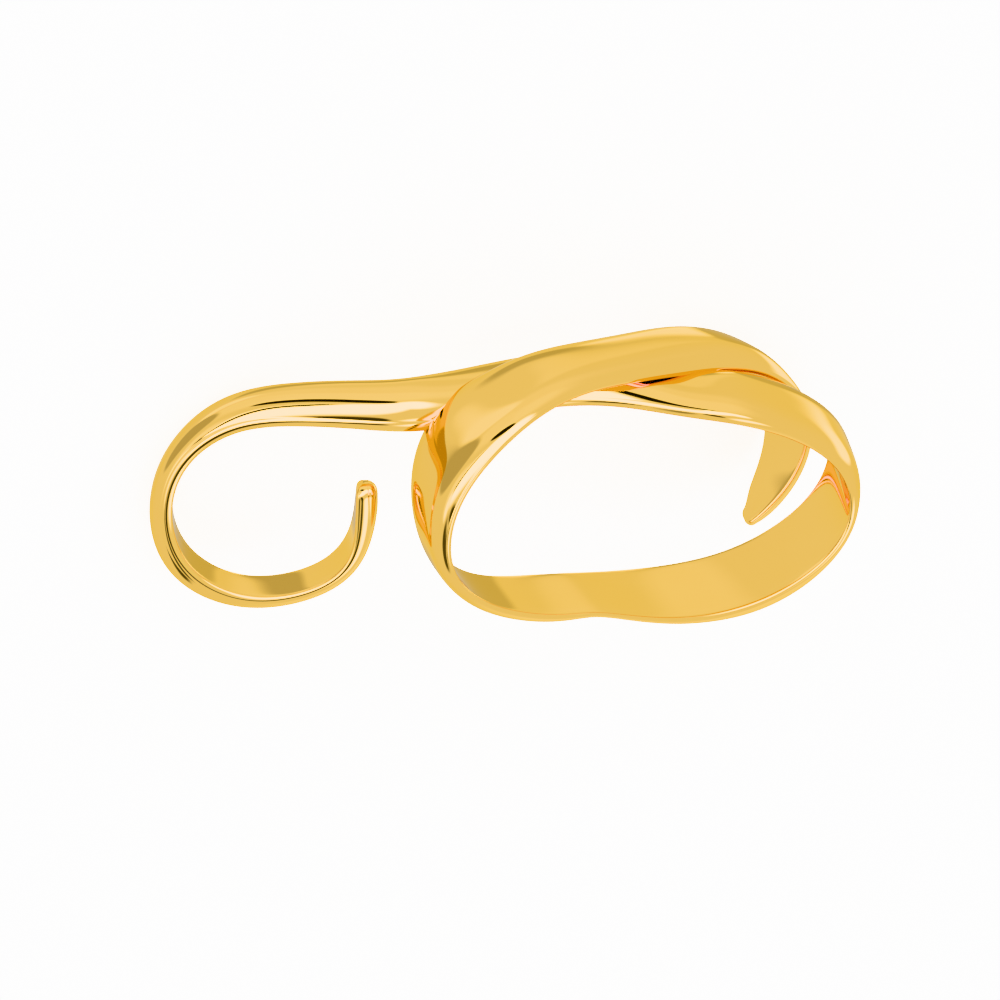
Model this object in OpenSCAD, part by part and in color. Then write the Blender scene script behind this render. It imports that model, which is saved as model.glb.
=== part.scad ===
// Three-finger ring, one cast ribbon of polished metal. Lengths in mm, angles in degrees.
// The ribbon starts at the tip of the open one-finger loop, runs round it and along the
// straight bar, passes under the wide band, goes round the two-finger loop, comes back
// over the top as the wide band and ends in the tapered tail behind the right side.
// Built as worn (X along the row of fingers, Y out of the back of the hand, Z along the
// fingers to their tips), then laid down on the rear edges, where it rests by itself.

/* [Overall] */
// Length of the whole ring along the row of fingers
ring_length = 68.3; // [60:0.5:80]
// Factor on the width of the ribbon
width_factor = 1; // [0.8:0.01:1.1]
// Factor on the thickness of the rim
rim_factor = 1; // [0.8:0.01:1.3]
// Factor on the height of the rounded outer face over the rim
crown_factor = 1; // [0.5:0.01:1.2]

/* [Ends] */
// Length of the rounded end of the open loop
hook_end = 1.2; // [0.5:0.1:2]
// Length of the rounded end of the tail
tail_end = 0.7; // [0.4:0.1:1.5]
// Radius that breaks the edges of the rim
edge_radius = 0.18; // [0.05:0.01:0.3]

/* [Rest] */
// Tip about X that lays the ring on its rear edges
rest_tip = -3.6; // [-10:0.1:10]
// Roll about Y that lays the ring on its rear edges
rest_roll = 1.2; // [-10:0.1:10]

/* [Fineness] */
// Rings of points for each row of the tables
rings_per_row = 5; // [3:1:8]
// Points across the outer face
face_points = 10; // [8:1:16]
// Rings of points in each rounded end
end_rings = 4; // [3:1:8]

/* [Hidden] */
eps = 0.0001;

// Columns of the tables. x, y, z is the front edge of the inner face, width runs back
// from it, lean turns the section about that edge, rim is the thickness at the edges,
// crown the height of the outer face over the rim and flat how square that face is.
X = 0;
Y = 1;
Z = 2;
WIDTH = 3;
LEAN = 4;
RIM = 5;
CROWN = 6;
FLAT = 7;

// Open one-finger loop, from its tip down, along the bottom and up the left side.
open_loop = [
    [-9.9, -5.1, -10.1, 2.4, -18, 1.3, 0.8, 3],
    [-9.6, -7.4, -10.0, 3.6, -16, 1.4, 0.8, 3],
    [-9.4, -11.7, -9.9, 4.5, -12, 1.1, 0.6, 3],
    [-12.1, -15.1, -10.7, 4.5, -6, 0.9, 0.8, 3],
    [-17.8, -17.1, -12.5, 4.4, 1, 1.0, 0.9, 3],
    [-23.5, -14.9, -14.3, 4.6, 11, 1.1, 1.4, 3],
    [-25.9, -9.5, -15.3, 4.7, 17, 1.1, 1.1, 3],
    [-25.1, -4.2, -15.1, 4.6, 19, 1.1, 1.1, 3],
    [-21.3, -0.2, -13.9, 4.6, 10, 1.1, 1.8, 3],
];

// Straight bar, from the open loop to where it has passed under the wide band.
bar = [
    [-16.0, 1.3, -12.0, 4.9, -2, 1.0, 2.2, 3],
    [-10.8, 2.1, -10.0, 5.4, -7, 1.1, 2.3, 3],
    [-5.1, 2.7, -8.3, 6.0, -8, 1.3, 2.4, 3],
    [1.5, 4.3, -8.4, 7.0, 0, 1.1, 1.9, 4],
    [7.8, 6.0, -7.3, 7.4, 0, 1.0, 1.5, 5],
    [13.1, 7.0, -5.4, 7.0, 0, 1.0, 1.1, 5],
    [18.7, 7.3, -2.6, 7.4, -2, 1.1, 0.9, 5],
];

// Right side of the two-finger loop, down to the palm side.
right_side = [
    [23.7, 7.6, -0.4, 8.2, -9, 1.1, 0.9, 5],
    [30.3, 5.9, -0.2, 8.5, -13, 0.9, 0.5, 4],
    [35.6, 2.5, 0.0, 9.0, -15, 0.9, 1.1, 5],
    [37.5, -2.4, 0.0, 9.4, -8, 0.8, 0.5, 6],
    [35.5, -7.1, 0.0, 9.2, 0, 0.8, 1.4, 6],
    [30.1, -11.1, 0.0, 10.0, 0, 0.8, 1.7, 6],
    [22.8, -12.9, 0.0, 10.5, 0, 0.75, 0.8, 6],
];

// Palm side with its shallow dip between the two fingers, and the left side.
palm_side = [
    [16.2, -12.5, 0.0, 8.9, 0, 0.55, 0.6, 6],
    [12.4, -12.1, 0.0, 8.0, 0, 0.5, 0.7, 6],
    [8.6, -12.4, 0.0, 8.3, 0, 0.7, 0.9, 6],
    [2.4, -11.5, 0.0, 6.8, 0, 0.7, 0.9, 5],
    [-2.3, -8.6, 0.0, 6.2, 0, 0.5, 0.8, 5],
    [-4.0, -4.0, 0.0, 8.2, 0, 0.6, 1.2, 5],
    [-3.1, 1.3, 0.0, 10.0, -5, 0.6, 1.5, 5],
    [0.4, 6.2, -0.3, 10.4, -4, 0.7, 1.1, 5],
];

// Wide band over the top of the two-finger loop.
wide_band = [
    [4.5, 8.8, -1.5, 9.3, 0, 0.7, 1.0, 5],
    [9.6, 9.7, -3.5, 8.1, 0, 0.7, 1.0, 5],
    [17.0, 9.7, -6.0, 7.9, 0, 0.7, 1.2, 4],
    [24.6, 9.3, -8.5, 8.5, 3, 0.8, 1.6, 4],
    [30.6, 8.2, -10.1, 8.0, 12, 0.9, 1.5, 4],
];

// Tail that tapers and curls down behind the right side.
tail = [
    [35.4, 5.2, -10.8, 7.3, 19, 0.8, 0.5, 4],
    [37.4, 0.6, -11.2, 7.1, 13, 0.9, 0.9, 4],
    [36.8, -3.9, -11.4, 6.1, 6, 0.9, 1.1, 4],
    [34.9, -7.3, -11.7, 4.6, 0, 0.8, 0.9, 3],
    [33.9, -8.7, -12.0, 2.5, 0, 0.6, 0.5, 3],
];

rows = concat(open_loop, bar, right_side, palm_side, wide_band, tail);
last_row = len(rows) - 1;
// The row where the ribbon is cut in two for building: each half crosses itself nowhere.
cut_row = len(open_loop) + len(bar) + len(right_side) - 1;

// Row i, carried on in a straight line past either end of the tables.
function row(i) =
    i < 0 ? rows[0] + i * (rows[1] - rows[0]) :
    i > last_row ? rows[last_row] + (i - last_row) * (rows[last_row] - rows[last_row - 1]) :
    rows[i];

// Control row that makes the smooth curve pass through row i.
function control(i) = row(i) - (row(i - 1) - 2 * row(i) + row(i + 1)) / 6;
controls = [for (i = [-1 : last_row + 1]) control(i)];

// The four control rows round place s, and the smooth curve and its direction there.
function span(s) = min(floor(s), last_row - 1);
function blend(c, i, u) =
    (pow(1 - u, 3) * c[i]
    + (3 * pow(u, 3) - 6 * pow(u, 2) + 4) * c[i + 1]
    + (-3 * pow(u, 3) + 3 * pow(u, 2) + 3 * u + 1) * c[i + 2]
    + pow(u, 3) * c[i + 3]) / 6;
function slope(c, i, u) =
    (-pow(1 - u, 2) * c[i]
    + (3 * pow(u, 2) - 4 * u) * c[i + 1]
    + (-3 * pow(u, 2) + 2 * u + 1) * c[i + 2]
    + pow(u, 2) * c[i + 3]) / 2;
function section(s) = blend(controls, span(s), s - span(s));
function direction(s) = let (d = slope(controls, span(s), s - span(s))) unit([d[X], d[Y], d[Z]]);
function unit(v) = v / norm(v);

// Height of the outer face at share f of the width. Where the face is less square, its
// front half is fuller than its rear half.
function fullness(f, flat) = f < 0.5 ? min(1, flat / 5) : 1;
function crown_at(f, crown, flat) = crown * pow(1 - pow(abs(2 * f - 1), flat), fullness(f, flat));

// Outline of one section: [distance back from the front edge, height over the inner face].
function outline(c) =
    let (
        w = c[WIDTH] * width_factor,
        t = c[RIM] * rim_factor,
        h = c[CROWN] * crown_factor,
        r = min(edge_radius, 0.25 * t, 0.2 * w)
    )
    concat(
        [[w - r, 0], [r, 0], [0.3 * r, 0.3 * r], [0, r], [0, t - r / 2]],
        [for (k = [0 : face_points - 1])
            let (f = 0.5 - 0.5 * cos(180 * (k + 0.35) / (face_points - 0.3)))
            [f * w, t + crown_at(f, h, c[FLAT])]],
        [[w, t - r / 2], [w, r], [w - 0.3 * r, 0.3 * r]]
    );

// Outline drawn together about its middle by factor k, for the rounded ends.
function drawn(c, k) =
    let (m = [c[WIDTH] * width_factor / 2, (c[RIM] * rim_factor + 0.7 * c[CROWN] * crown_factor) / 2])
    [for (p = outline(c)) m + k * (p - m)];

// Ring of points at place s, moved by on along the ribbon and drawn together by factor k.
function ring(s, on = 0, k = 1) =
    let (
        c = section(s),
        d = direction(s),
        across = unit([0, 0, 1] - d[Z] * d),
        out = cross(across, d),
        a = cos(c[LEAN]) * across + sin(c[LEAN]) * out,
        n = cos(c[LEAN]) * out - sin(c[LEAN]) * across,
        p0 = [c[X], c[Y], c[Z]] + on * d
    )
    [for (p = drawn(c, k)) rest(p0 - p[0] * a + p[1] * n)];

// Turns a point as worn into the ring laid down.
function rest(p) =
    let (
        q = [p[X], p[Y] * cos(rest_tip) - p[Z] * sin(rest_tip), p[Y] * sin(rest_tip) + p[Z] * cos(rest_tip)]
    )
    [q[X] * cos(rest_roll) + q[Z] * sin(rest_roll), q[Y], -q[X] * sin(rest_roll) + q[Z] * cos(rest_roll)];

// Turn of end ring k, which stops short so that the last ring keeps some size, and the
// rings from place a to place b.
function end_turn(k) = 72 * k / end_rings;
function run(a, b) = [for (i = [a * rings_per_row : b * rings_per_row]) ring(i / rings_per_row)];

first_half = concat(
    [for (k = [end_rings : -1 : 1]) ring(0, -hook_end * sin(end_turn(k)), cos(end_turn(k)))],
    run(0, cut_row)
);
second_half = concat(
    run(cut_row, last_row),
    [for (k = [1 : end_rings]) ring(last_row, tail_end * sin(end_turn(k)), cos(end_turn(k)))]
);

// Box round all the points, to bring the middle of the underside to the origin.
points = [for (r = concat(first_half, second_half)) each r];
low = [for (i = [X : Z]) min([for (p = points) p[i]])];
high = [for (i = [X : Z]) max([for (p = points) p[i]])];
scale_up = ring_length / (high[X] - low[X]);

// Closed skin over a list of rings.
module skin(rings) {
    m = len(rings[0]);
    n = len(rings);
    flat_list = [for (r = rings) each r];
    sides = [for (i = [0 : n - 2]) for (j = [0 : m - 1])
        let (a = i * m + j, b = i * m + (j + 1) % m)
        each [[a, b + m, a + m], [a, b, b + m]]];
    first_end = [for (j = [1 : m - 2]) [0, j + 1, j]];
    second_end = [for (j = [1 : m - 2]) [(n - 1) * m, (n - 1) * m + j, (n - 1) * m + j + 1]];
    polyhedron(flat_list, concat(sides, first_end, second_end), convexity = 10);
}

// Ring band: the whole cast ribbon, one solid.
module ring_band() {
    color("gold")
        resize([ring_length, 0, 0], auto = true)
            translate([-(low[X] + high[X]) / 2, -(low[Y] + high[Y]) / 2, -low[Z]])
                union() {
                    skin(first_half);
                    skin(second_half);
                }
}

ring_band();
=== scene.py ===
"""Three-finger ring: one cast and polished ribbon that coils into two loops, lying on a pale floor."""
import logging
import math
from dataclasses import dataclass, field
from enum import Enum
from typing import Any, List, Mapping, Sequence, Tuple, Union

import bmesh
import bpy
from mathutils import Matrix, Vector


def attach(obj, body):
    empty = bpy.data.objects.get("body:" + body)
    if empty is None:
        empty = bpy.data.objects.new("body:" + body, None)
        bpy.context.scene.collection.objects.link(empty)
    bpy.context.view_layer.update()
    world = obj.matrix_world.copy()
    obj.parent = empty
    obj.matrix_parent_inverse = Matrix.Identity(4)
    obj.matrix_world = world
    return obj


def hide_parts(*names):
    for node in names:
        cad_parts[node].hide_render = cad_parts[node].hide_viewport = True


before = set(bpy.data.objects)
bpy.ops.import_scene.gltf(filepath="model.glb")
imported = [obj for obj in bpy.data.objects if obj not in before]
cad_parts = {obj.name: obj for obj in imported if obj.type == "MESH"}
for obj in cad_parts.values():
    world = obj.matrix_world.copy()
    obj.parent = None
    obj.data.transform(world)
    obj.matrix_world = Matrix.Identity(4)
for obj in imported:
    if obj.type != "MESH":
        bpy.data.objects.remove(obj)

LOG = logging.getLogger("ring")
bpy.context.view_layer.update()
MM = 0.001

# Columns of the tables, as in the part's source: the front edge of the inner face (x, y, z),
# how far the ribbon runs back from it, how its section leans about that edge, how thick its
# rim is, how high its outer face stands over the rim and how square that face is. The bar is
# higher here where it passes under the band, and the band's left part is squarer in front.
OPEN_LOOP = (
    (-9.9, -5.1, -10.1, 2.4, -18, 1.3, 0.8, 3),
    (-9.6, -7.4, -10.0, 3.6, -16, 1.4, 0.8, 3),
    (-9.4, -11.7, -9.9, 4.5, -12, 1.1, 0.6, 3),
    (-12.1, -15.1, -10.7, 4.5, -6, 0.9, 0.8, 3),
    (-17.8, -17.1, -12.5, 4.4, 1, 1.0, 0.9, 3),
    (-23.5, -14.9, -14.3, 4.6, 11, 1.1, 1.4, 3),
    (-25.9, -9.5, -15.3, 4.7, 17, 1.1, 1.1, 3),
    (-25.1, -4.2, -15.1, 4.6, 19, 1.1, 1.1, 3),
    (-21.3, -0.2, -13.9, 4.6, 10, 1.1, 1.8, 3),
)
BAR = (
    (-16.0, 1.3, -12.0, 4.9, -2, 1.0, 2.2, 3),
    (-10.8, 2.1, -10.0, 5.4, -7, 1.1, 2.3, 3),
    (-5.1, 2.7, -8.3, 6.0, -8, 1.3, 2.4, 3),
    (1.5, 4.3, -8.4, 7.0, 0, 1.1, 1.9, 4),
    (7.8, 6.0, -7.3, 7.4, 0, 1.0, 2.1, 5),
    (13.1, 7.0, -5.4, 7.0, 0, 1.0, 1.6, 5),
    (18.7, 7.3, -2.6, 7.4, -2, 1.1, 0.9, 5),
)
RIGHT_SIDE = (
    (23.7, 7.6, -0.4, 8.2, -9, 1.1, 0.9, 5),
    (30.3, 5.9, -0.2, 8.5, -13, 0.9, 0.5, 4),
    (35.6, 2.5, 0.0, 9.0, -15, 0.9, 1.1, 5),
    (37.5, -2.4, 0.0, 9.4, -8, 0.8, 0.5, 6),
    (35.5, -7.1, 0.0, 9.2, 0, 0.8, 1.4, 6),
    (30.1, -11.1, 0.0, 10.0, 0, 0.8, 1.7, 6),
    (22.8, -12.9, 0.0, 10.5, 0, 0.75, 0.8, 6),
)
PALM_SIDE = (
    (16.2, -12.5, 0.0, 8.9, 0, 0.55, 0.6, 6),
    (12.4, -12.1, 0.0, 8.0, 0, 0.5, 0.7, 6),
    (8.6, -12.4, 0.0, 8.3, 0, 0.7, 0.9, 6),
    (2.4, -11.5, 0.0, 6.8, 0, 0.7, 0.9, 5),
    (-2.3, -8.6, 0.0, 6.2, 0, 0.5, 0.8, 5),
    (-4.0, -4.0, 0.0, 8.2, 0, 0.6, 1.2, 9),
    (-3.1, 1.3, 0.0, 10.0, -5, 0.6, 1.5, 9),
    (0.4, 6.2, -0.3, 10.4, -4, 0.7, 1.1, 9),
)
WIDE_BAND = (
    (4.5, 8.8, -1.5, 9.3, 0, 0.7, 1.0, 8),
    (9.6, 9.7, -3.5, 8.1, 0, 0.7, 1.0, 5),
    (17.0, 9.7, -6.0, 7.9, 0, 0.7, 1.2, 4),
    (24.6, 9.3, -8.5, 8.5, 3, 0.8, 1.6, 4),
    (30.6, 8.2, -10.1, 8.0, 12, 0.9, 1.5, 4),
)
TAIL = (
    (35.4, 5.2, -10.8, 7.3, 19, 0.8, 0.5, 4),
    (37.4, 0.6, -11.2, 7.1, 13, 0.9, 0.9, 4),
    (36.8, -3.9, -11.4, 6.1, 6, 0.9, 1.1, 4),
    (34.9, -7.3, -11.7, 4.6, 0, 0.8, 0.9, 3),
    (33.9, -8.7, -12.0, 2.5, 0, 0.6, 0.5, 3),
)


class Rgb:
    """A colour given as the hex value that a picture program shows."""

    def __init__(self, code: str) -> None:
        """Takes the colour's code.

        Args:
            code: six hex digits, red, green and blue.
        """
        self.code = code

    def linear(self) -> Tuple[float, float, float, float]:
        """Turns the colour into the linear values that a shader takes.

        Returns:
            Red, green, blue and an alpha of one.
        """
        parts = [int(self.code[i : i + 2], 16) / 255 for i in (0, 2, 4)]
        light = [p / 12.92 if p <= 0.04045 else ((p + 0.055) / 1.055) ** 2.4 for p in parts]
        return (light[0], light[1], light[2], 1.0)


def add_node(
    tree: bpy.types.NodeTree,
    kind: str,
    settings: Mapping[str, Any] = {},
    sockets: Mapping[Union[str, int], Any] = {},
    links: Mapping[Union[str, int], bpy.types.NodeSocket] = {},
) -> bpy.types.Node:
    """Adds a node to a tree, sets it and links it.

    Args:
        tree: the material's or the world's tree.
        kind: the node's type name.
        settings: the node's own properties by name.
        sockets: values of its input sockets by name or number.
        links: output sockets that feed its inputs, by name or number of the input.

    Returns:
        The new node.
    """
    node = tree.nodes.new(kind)
    for name, value in settings.items():
        setattr(node, name, value)
    for name, value in sockets.items():
        node.inputs[name].default_value = value
    for name, source in links.items():
        tree.links.new(source, node.inputs[name])
    return node


@dataclass(frozen=True)
class PolishedGoldPlate:
    """Brass, cast, hand polished and gold plated: a mirror with soft waves from the polishing wheel."""

    colour: Rgb = Rgb("FACF74")
    deeper: Rgb = Rgb("F7CB6D")
    grazing: Rgb = Rgb("FFEFBC")
    roughness: float = 0.05
    least_rough: float = 0.8
    most_rough: float = 1.25
    haze_mm: float = 2.5
    wave_mm: float = 9.0
    wave_height_mm: float = 0.006

    def material(self, name: str) -> bpy.types.Material:
        """Makes the material.

        Args:
            name: the material's name.

        Returns:
            The material.
        """
        made = bpy.data.materials.new(name)
        made.use_nodes = True
        tree = made.node_tree
        shader = tree.nodes["Principled BSDF"]
        shader.inputs["Metallic"].default_value = 1.0
        shader.inputs["Specular Tint"].default_value = self.grazing.linear()
        place = add_node(tree, "ShaderNodeTexCoord")
        # Plating is a shade deeper where the wheel has pressed less.
        cloud = add_node(
            tree,
            "ShaderNodeTexNoise",
            sockets={"Scale": 1 / (self.wave_mm * MM), "Detail": 2.0, "Roughness": 0.4},
            links={"Vector": place.outputs["Object"]},
        )
        tint = add_node(
            tree,
            "ShaderNodeMix",
            settings={"data_type": "RGBA"},
            sockets={6: self.deeper.linear(), 7: self.colour.linear()},
            links={0: cloud.outputs["Fac"]},
        )
        tree.links.new(tint.outputs[2], shader.inputs["Base Color"])
        # The haze that fine polish leaves is a little uneven.
        haze = add_node(
            tree,
            "ShaderNodeTexNoise",
            sockets={"Scale": 1 / (self.haze_mm * MM), "Detail": 3.0},
            links={"Vector": place.outputs["Object"]},
        )
        gloss = add_node(
            tree,
            "ShaderNodeMapRange",
            sockets={
                "From Min": 0.3,
                "From Max": 0.7,
                "To Min": self.roughness * self.least_rough,
                "To Max": self.roughness * self.most_rough,
            },
            links={"Value": haze.outputs["Fac"]},
        )
        tree.links.new(gloss.outputs["Result"], shader.inputs["Roughness"])
        # The wheel leaves long, shallow waves, which bend the mirror image.
        wave = add_node(
            tree,
            "ShaderNodeTexNoise",
            sockets={"Scale": 1 / (self.wave_mm * MM), "Detail": 0.0},
            links={"Vector": place.outputs["Object"]},
        )
        bump = add_node(
            tree,
            "ShaderNodeBump",
            sockets={"Strength": 1.0, "Distance": self.wave_height_mm * MM},
            links={"Height": wave.outputs["Fac"]},
        )
        tree.links.new(bump.outputs["Normal"], shader.inputs["Normal"])
        return made


@dataclass(frozen=True)
class MattPaper:
    """Roll of matt white backdrop paper, lit through from below: it is even, bright and shows no shine."""

    colour: Rgb = Rgb("FFFFFF")
    glow: float = 3.0
    roughness: float = 0.9
    shine: float = 0.1
    grain_mm: float = 0.6
    grain_height_mm: float = 0.02
    grain_strength: float = 0.05

    def material(self, name: str) -> bpy.types.Material:
        """Makes the material.

        Args:
            name: the material's name.

        Returns:
            The material.
        """
        made = bpy.data.materials.new(name)
        made.use_nodes = True
        tree = made.node_tree
        shader = tree.nodes["Principled BSDF"]
        shader.inputs["Base Color"].default_value = self.colour.linear()
        shader.inputs["Roughness"].default_value = self.roughness
        shader.inputs["Specular IOR Level"].default_value = self.shine
        shader.inputs["Emission Color"].default_value = self.colour.linear()
        shader.inputs["Emission Strength"].default_value = self.glow
        place = add_node(tree, "ShaderNodeTexCoord")
        grain = add_node(
            tree,
            "ShaderNodeTexNoise",
            sockets={"Scale": 1 / (self.grain_mm * MM), "Detail": 2.0},
            links={"Vector": place.outputs["Object"]},
        )
        bump = add_node(
            tree,
            "ShaderNodeBump",
            sockets={"Strength": self.grain_strength, "Distance": self.grain_height_mm * MM},
            links={"Height": grain.outputs["Fac"]},
        )
        tree.links.new(bump.outputs["Normal"], shader.inputs["Normal"])
        return made


@dataclass
class WornPlace:
    """How the ring as worn is laid down on its rear edges, as in the part's source."""

    tip: float = -3.6
    roll: float = 1.2
    length: float = 68.3
    middle: Vector = field(default_factory=Vector)
    factor: float = 1.0

    def turned(self, point: Vector) -> Vector:
        """Turns a point or a direction as worn into the ring laid down.

        Args:
            point: the point as worn.

        Returns:
            The same point turned, without its shift to the origin.
        """
        tipped = Matrix.Rotation(math.radians(self.tip), 3, "X") @ point
        return Matrix.Rotation(math.radians(self.roll), 3, "Y") @ tipped

    def settle(self, points: Sequence[Vector]) -> None:
        """Finds the shift and the size from all the turned points of the ribbon.

        Args:
            points: the turned points.
        """
        low = Vector([min(p[i] for p in points) for i in range(3)])
        high = Vector([max(p[i] for p in points) for i in range(3)])
        self.middle = Vector(((low.x + high.x) / 2, (low.y + high.y) / 2, low.z))
        self.factor = self.length / (high.x - low.x) * MM

    def placed(self, point: Vector) -> Vector:
        """Moves a turned point to its place in the row frame, in metres.

        Args:
            point: the turned point, in mm.

        Returns:
            The point in the row frame.
        """
        return (point - self.middle) * self.factor


class End(Enum):
    """The two ends of the ribbon, with the length of their rounding in mm."""

    OPEN_LOOP = 1.2
    TAIL = 0.7


@dataclass
class CastRibbon:
    """The ring itself: one ribbon that runs from the open loop to the tail."""

    place: WornPlace
    rings_per_row: int = 5
    face_points: int = 10
    end_rings: int = 4
    end_turn: float = 72
    edge_radius: float = 0.18
    rim_bulge: float = 0.2
    crease_share: float = 0.7
    crown_middle: float = 0.7
    full_flat: float = 5.0
    rear_flat: float = 5.0
    rim_turns: Tuple[float, ...] = (-78, -52, -26, 0, 26, 52, 72)
    levels: int = 2
    rows: Tuple[Tuple[float, ...], ...] = OPEN_LOOP + BAR + RIGHT_SIDE + PALM_SIDE + WIDE_BAND + TAIL

    def row(self, i: int) -> List[float]:
        """Row i, carried on in a straight line past either end.

        Args:
            i: the row's number.

        Returns:
            The row's values.
        """
        last = len(self.rows) - 1
        if i < 0:
            return [a + i * (b - a) for a, b in zip(self.rows[0], self.rows[1])]
        if i > last:
            return [b + (i - last) * (b - a) for a, b in zip(self.rows[-2], self.rows[-1])]
        return list(self.rows[i])

    def control(self, i: int) -> List[float]:
        """Control row that makes the smooth curve pass through row i.

        Args:
            i: the row's number.

        Returns:
            The control row.
        """
        around = zip(self.row(i - 1), self.row(i), self.row(i + 1))
        return [b - (a - 2 * b + c) / 6 for a, b, c in around]

    def section(self, s: float) -> Tuple[List[float], Vector]:
        """The ribbon's values and its direction at a place along it.

        Args:
            s: the place, counted in rows.

        Returns:
            The values by column, and the direction.
        """
        i = min(math.floor(s), len(self.rows) - 2)
        u = s - i
        near = [self.control(k) for k in (i - 1, i, i + 1, i + 2)]
        share = (
            (1 - u) ** 3 / 6,
            (3 * u**3 - 6 * u**2 + 4) / 6,
            (-3 * u**3 + 3 * u**2 + 3 * u + 1) / 6,
            u**3 / 6,
        )
        slope = (-((1 - u) ** 2) / 2, (3 * u**2 - 4 * u) / 2, (-3 * u**2 + 2 * u + 1) / 2, u**2 / 2)
        values = [sum(w * n[c] for w, n in zip(share, near)) for c in range(8)]
        ahead = Vector([sum(w * n[c] for w, n in zip(slope, near)) for c in range(3)])
        return values, ahead.normalized()

    def outline(self, values: Sequence[float]) -> List[Tuple[float, float]]:
        """Outline of one section.

        Args:
            values: the section's values by column.

        Returns:
            Points as distance back from the front edge and height over the inner face.
        """
        width, _, rim, crown, flat = values[3:]
        bulge = min(self.rim_bulge, 0.3 * rim)
        points = [(width - self.edge_radius, 0), (0.5 * width, 0), (bulge + self.edge_radius, 0)]
        for turn in self.rim_turns:
            angle = math.radians(turn)
            points.append((bulge * (1 - math.cos(angle)), rim / 2 * (1 + math.sin(angle))))
        crease = self.crease_share * bulge
        for k in range(self.face_points):
            f = 0.5 - 0.5 * math.cos(math.pi * (k + 0.35) / (self.face_points - 0.3))
            fullness = min(1.0, flat / self.full_flat) if f < 0.5 else 1.0
            power = flat if f < 0.5 else min(flat, self.rear_flat)
            height = rim + crown * (1 - abs(2 * f - 1) ** power) ** fullness
            points.append((crease + f * (width - crease), height))
        r = min(self.edge_radius, 0.25 * rim)
        return points + [(width, rim - r / 2), (width, r), (width - 0.3 * r, 0.3 * r)]

    def ring(self, s: float, on: float = 0.0, drawn: float = 1.0) -> List[Vector]:
        """One ring of points round the ribbon.

        Args:
            s: the place, counted in rows.
            on: how far the ring is moved on along the ribbon, in mm.
            drawn: the share of its size that it keeps.

        Returns:
            The turned points, in mm.
        """
        values, ahead = self.section(s)
        width, lean, rim, crown, _ = values[3:]
        across = (Vector((0, 0, 1)) - ahead.z * ahead).normalized()
        out = across.cross(ahead)
        angle = math.radians(lean)
        back = math.cos(angle) * across + math.sin(angle) * out
        up = math.cos(angle) * out - math.sin(angle) * across
        start = Vector(values[:3]) + on * ahead
        mid = (width / 2, (rim + self.crown_middle * crown) / 2)
        made = []
        for a, h in self.outline(values):
            a, h = mid[0] + drawn * (a - mid[0]), mid[1] + drawn * (h - mid[1])
            made.append(self.place.turned(start - a * back + h * up))
        return made

    def end_rounding(self, end: End) -> List[List[Vector]]:
        """The rings that round off one end, from the ribbon outwards.

        Args:
            end: which end.

        Returns:
            The rings.
        """
        s, sign = (0.0, -1) if end is End.OPEN_LOOP else (len(self.rows) - 1.0, 1)
        turns = [math.radians(self.end_turn * k / self.end_rings) for k in range(1, self.end_rings + 1)]
        return [self.ring(s, sign * end.value * math.sin(t), math.cos(t)) for t in turns]

    def rings(self) -> List[List[Vector]]:
        """All rings, from the tip of the open loop to the tip of the tail."""
        steps = (len(self.rows) - 1) * self.rings_per_row
        run = [self.ring(i / self.rings_per_row) for i in range(steps + 1)]
        return self.end_rounding(End.OPEN_LOOP)[::-1] + run + self.end_rounding(End.TAIL)

    def build(self, finish: PolishedGoldPlate) -> bpy.types.Object:
        """Builds the ribbon as one closed mesh and dresses it.

        Args:
            finish: the metal's finish.

        Returns:
            The finished piece.
        """
        rings = self.rings()
        self.place.settle([p for r in rings for p in r])
        bm = bmesh.new()
        count = len(rings[0])
        bmesh.ops.create_circle(bm, segments=count, radius=1.0)
        bm.verts.ensure_lookup_table()
        front = list(bm.verts)
        order = [front[0]]
        while len(order) < count:
            beside = [e.other_vert(order[-1]) for e in order[-1].link_edges]
            order.append(next(v for v in beside if v not in order))
        edges = list(bm.edges)
        bmesh.ops.contextual_create(bm, geom=edges)
        self.set_ring(order, rings[0])
        for points in rings[1:]:
            made = bmesh.ops.extrude_edge_only(bm, edges=edges)["geom"]
            edges = [g for g in made if isinstance(g, bmesh.types.BMEdge)]
            fresh = {g for g in made if isinstance(g, bmesh.types.BMVert)}
            order = [next(e.other_vert(v) for e in v.link_edges if e.other_vert(v) in fresh) for v in order]
            self.set_ring(order, points)
        bmesh.ops.contextual_create(bm, geom=edges)
        bmesh.ops.recalc_face_normals(bm, faces=list(bm.faces))
        mesh = bpy.data.meshes.new("ring_ribbon")
        bm.to_mesh(mesh)
        bm.free()
        mesh.shade_smooth()
        piece = bpy.data.objects.new("ring_ribbon", mesh)
        bpy.context.scene.collection.objects.link(piece)
        smooth = piece.modifiers.new("smooth", "SUBSURF")
        smooth.levels = smooth.render_levels = self.levels
        piece.data.materials.append(finish.material("polished_gold_plate"))
        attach(piece, "root")
        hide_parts("ring_band")
        return piece

    def set_ring(self, verts: Sequence[bmesh.types.BMVert], points: Sequence[Vector]) -> None:
        """Moves a ring of vertices onto its points."""
        for vert, point in zip(verts, points):
            vert.co = self.place.placed(point)


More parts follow.
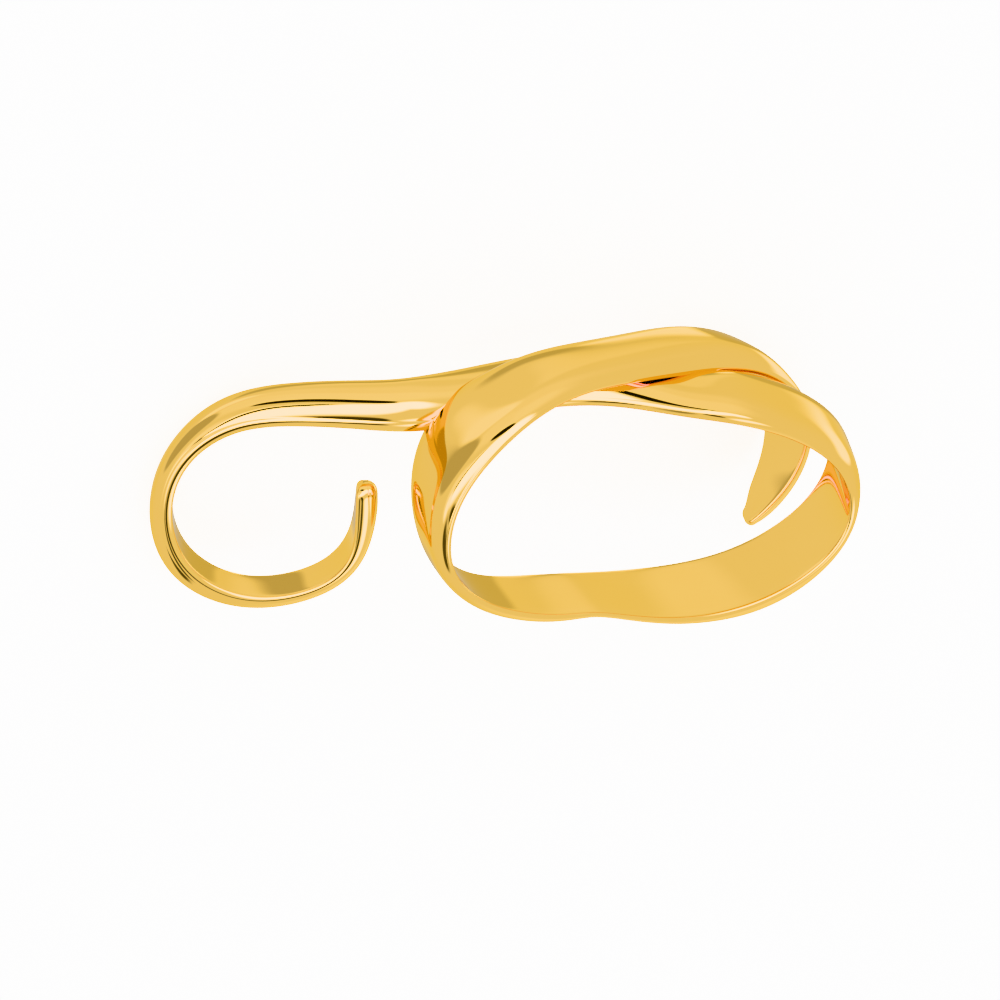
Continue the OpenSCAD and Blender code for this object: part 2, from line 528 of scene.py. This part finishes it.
@dataclass
class PhotoCamera:
    """The camera: it looks at the ring as worn from above its front, right of the middle."""

    place: WornPlace
    right: Vector = Vector((0.914, 0.1888, 0.3592))
    up: Vector = Vector((0.0, 0.8852, -0.4652))
    back: Vector = Vector((-0.4058, 0.4252, 0.809))
    distance: float = 370.0
    mm_per_pixel: float = 0.093
    picture: int = 1000
    sensor: float = 36.0
    near: float = 10.0

    def set_up(self) -> bpy.types.Object:
        """Makes the camera and gives it to the scene.

        Returns:
            The camera object.
        """
        lens = bpy.data.cameras.new("camera")
        lens.sensor_width = self.sensor
        lens.lens = self.sensor * self.distance / (self.mm_per_pixel * self.picture)
        lens.clip_start = self.near * MM
        camera = bpy.data.objects.new("camera", lens)
        bpy.context.scene.collection.objects.link(camera)
        axes = [self.place.turned(v).normalized() for v in (self.right, self.up, self.back)]
        turn = Matrix(axes).transposed().to_4x4()
        spot = self.place.placed(self.place.turned(self.back * self.distance))
        camera.matrix_world = Matrix.Translation(spot) @ turn
        bpy.context.scene.camera = camera
        return camera


@dataclass(frozen=True)
class SoftPanel:
    """An oval patch of the light tent, brighter or darker than the rest, with a soft edge.

    Turn and height say where its middle is from the ring, in degrees: turn 0 is towards -Y and
    90 towards +X. Wide and tall are its angles from middle to edge, roll turns it about its
    middle, and edge is the share of them over which it fades.
    """

    turn: float
    height: float
    wide: float
    tall: float
    roll: float
    edge: float
    light: float

    def axes(self) -> Matrix:
        """The directions of its width, its height and its middle, as columns."""
        turn, height = math.radians(self.turn), math.radians(self.height)
        level_reach = math.cos(height)
        middle = Vector((math.sin(turn) * level_reach, -math.cos(turn) * level_reach, math.sin(height)))
        side = Vector((math.cos(turn), math.sin(turn), 0.0))
        level = Matrix((side, middle.cross(side), middle)).transposed()
        return level @ Matrix.Rotation(math.radians(self.roll), 3, "Z")

    def hang(self, tree: bpy.types.NodeTree, direction: bpy.types.NodeSocket) -> bpy.types.Node:
        """Hangs the panel in the tent.

        Args:
            tree: the world's tree.
            direction: the direction that is lit.

        Returns:
            The node that lays the panel's light (B) over the light behind it (A).
        """
        axes = self.axes()
        size = (math.sin(math.radians(self.wide)), math.sin(math.radians(self.tall)), 1.0)
        place = add_node(
            tree,
            "ShaderNodeMapping",
            settings={"vector_type": "TEXTURE"},
            sockets={"Location": axes.col[2], "Rotation": axes.to_euler(), "Scale": size},
            links={"Vector": direction},
        )
        far = add_node(
            tree,
            "ShaderNodeVectorMath",
            settings={"operation": "LENGTH"},
            links={0: place.outputs["Vector"]},
        )
        share = add_node(
            tree,
            "ShaderNodeMapRange",
            settings={"interpolation_type": "SMOOTHSTEP"},
            sockets={"From Min": 1 + self.edge, "From Max": 1 - self.edge},
            links={"Value": far.outputs["Value"]},
        )
        return add_node(
            tree,
            "ShaderNodeMix",
            sockets={"B": self.light},
            links={"Factor": share.outputs["Result"]},
        )


@dataclass
class Studio:
    """White floor paper and a soft light tent round it, with brighter and darker panels."""

    floor_size: float = 3.0
    tent_light: float = 0.96
    panels: Tuple[SoftPanel, ...] = (
        SoftPanel(-166, 6, 42, 28, 0, 0.35, 1.35),
        SoftPanel(-172, -25, 38, 16, 0, 0.4, 1.15),
        SoftPanel(-136, -38, 19, 11, 0, 0.25, 1.8),
        SoftPanel(-142, -3, 17, 17, 0, 0.3, 1.25),
        SoftPanel(38, 4, 28, 30, 0, 0.4, 1.4),
        SoftPanel(40, -54, 20, 13, 0, 0.4, 0.65),
        SoftPanel(-105, -13, 23, 31, 16, 0.12, 0.57),
        SoftPanel(103, -17, 7.5, 25, 0, 0.3, 3.8),
        SoftPanel(105, -63, 12, 4, 0, 0.3, 2.6),
        SoftPanel(154, -55, 15, 3.4, 0, 0.5, 1.15),
        SoftPanel(168, -66, 19, 6, 0, 0.3, 0.6),
        SoftPanel(178, 56, 16, 15, 0, 0.3, 8.0),
        SoftPanel(-124, 64, 28, 15, 0, 0.2, 7.5),
        SoftPanel(-90, 43, 17, 9, 0, 0.5, 1.7),
        SoftPanel(-108, 53.5, 22, 3.2, 0, 0.25, 0.05),
        SoftPanel(-72, 48, 9, 6, 0, 0.4, 4.0),
        SoftPanel(25, 67, 12, 7, 0, 0.4, 6.0),
        SoftPanel(-151, 35, 14, 7.5, -37, 0.1, 0.01),
        SoftPanel(-34, 42, 19, 5, -60, 0.3, 0.1),
        SoftPanel(-38, 65.5, 8, 5, 0, 0.3, 0.06),
        SoftPanel(84, -54, 17, 9, 0, 0.15, 0.68),
    )

    def lay_floor(self) -> bpy.types.Object:
        """Lays the floor paper.

        Returns:
            The floor.
        """
        bm = bmesh.new()
        bmesh.ops.create_grid(bm, x_segments=1, y_segments=1, size=self.floor_size / 2)
        mesh = bpy.data.meshes.new("floor")
        bm.to_mesh(mesh)
        bm.free()
        floor = bpy.data.objects.new("floor", mesh)
        bpy.context.scene.collection.objects.link(floor)
        mesh.materials.append(MattPaper().material("matt_paper"))
        # The metal mirrors the tent's even lower half in place of the overexposed paper.
        floor.visible_glossy = False
        return floor

    def light(self) -> None:
        """Lights the scene with the tent and its panels."""
        world = bpy.data.worlds.new("studio")
        world.use_nodes = True
        bpy.context.scene.world = world
        tree = world.node_tree
        direction = add_node(tree, "ShaderNodeTexCoord").outputs["Generated"]
        laid = [panel.hang(tree, direction) for panel in self.panels]
        laid[0].inputs["A"].default_value = self.tent_light
        for behind, before in zip(laid, laid[1:]):
            tree.links.new(behind.outputs["Result"], before.inputs["A"])
        glow = tree.nodes["Background"]
        glow.inputs["Color"].default_value = Rgb("FFFFFF").linear()
        tree.links.new(laid[-1].outputs["Result"], glow.inputs["Strength"])


def main() -> None:
    """Builds the ring, the studio and the camera, and reports each."""
    logging.basicConfig(level=logging.INFO, format="%(name)s: %(message)s")
    bpy.context.scene.view_settings.view_transform = "Khronos PBR Neutral"
    place = WornPlace()
    ribbon = CastRibbon(place)
    piece = ribbon.build(PolishedGoldPlate())
    LOG.info("built %s with %d faces before smoothing", piece.name, len(piece.data.polygons))
    studio = Studio()
    LOG.info("laid %s", studio.lay_floor().name)
    studio.light()
    camera = PhotoCamera(place).set_up()
    LOG.info("set %s at %s", camera.name, tuple(round(c, 3) for c in camera.location))


if __name__ == "__main__":
    main()
